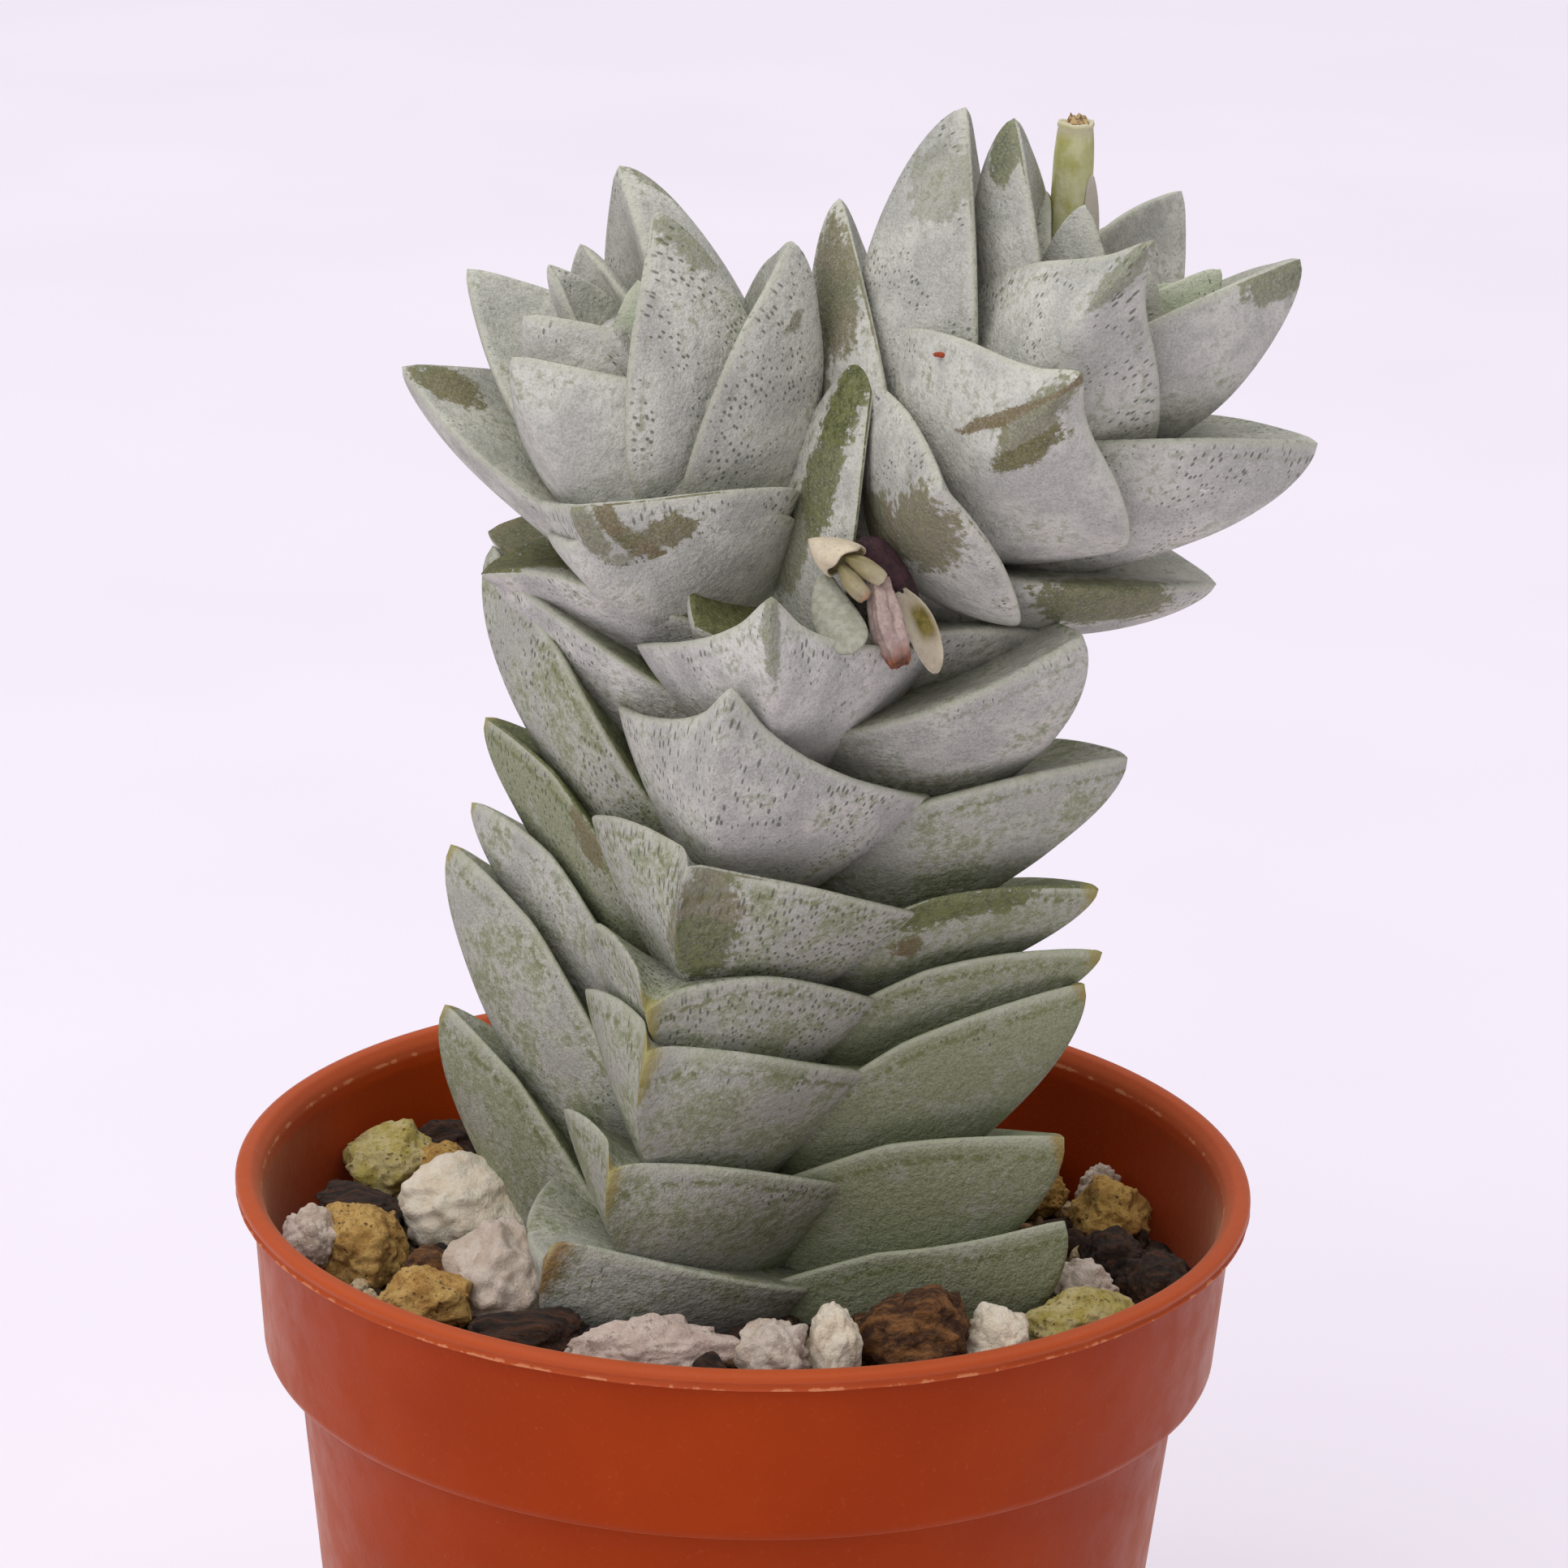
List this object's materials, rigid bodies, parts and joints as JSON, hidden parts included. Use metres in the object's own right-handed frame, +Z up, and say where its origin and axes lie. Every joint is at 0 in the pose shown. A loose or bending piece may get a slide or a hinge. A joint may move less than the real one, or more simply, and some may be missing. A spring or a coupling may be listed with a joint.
{
  "type": "potted succulent",
  "caption": "Small potted succulent: a column of thick keeled leaves that forks into two heads, rooted in gritty compost in a thin nursery pot.",
  "frame": {"origin": "centre of the pot's flat underside", "axes": "+Z up along the pot's axis, -Y towards the side that the picture looks at, +X to that side's right"},
  "size_m": [0.0557, 0.055, 0.1088],
  "materials": {
    "pot": "terracotta-coloured moulded plastic with a soft sheen",
    "compost": null,
    "pumice": "rough dry pumice",
    "bark": "rough dark bark",
    "leaf_lower": null,
    "leaf_upper": null,
    "dry_flower": "dry papery bracts",
    "dry_stalk": "pale green cut stalk with a torn dry end"
  },
  "bodies": {
    "root": {"pot": "pot", "compost": "compost", "column": "leaf_lower", "left_head": "leaf_upper", "right_head": "leaf_upper", "spent_bracts": "dry_flower", "flower_stalk": "dry_stalk", "bark_back_left": "bark", "bark_front_left": "bark", "bark_lump_back": "bark", "bark_lump_front": "bark", "bark_lump_left": "bark", "bark_lump_right": "bark", "bark_small_back": "bark", "bark_strip_left": "bark", "bark_wall_right": "bark", "pumice_cream_back": "pumice", "pumice_cream_left": "pumice", "pumice_green_left": "pumice", "pumice_ochre_back": "pumice", "pumice_ochre_front_left": "pumice", "pumice_ochre_left": "pumice", "pumice_pink_front": "pumice", "pumice_small_right": "pumice", "pumice_stained_right": "pumice", "pumice_tall_front": "pumice", "pumice_tan_back": "pumice", "pumice_tan_left": "pumice", "pumice_wedge_front": "pumice", "pumice_white_back": "pumice", "pumice_white_back_left": "pumice", "pumice_white_back_right": "pumice", "pumice_white_front": "pumice", "pumice_white_front_left": "pumice", "pumice_white_right": "pumice", "pumice_white_wall_left": "pumice", "pumice_yellow_right": "pumice"}
  },
  "joints": []
}
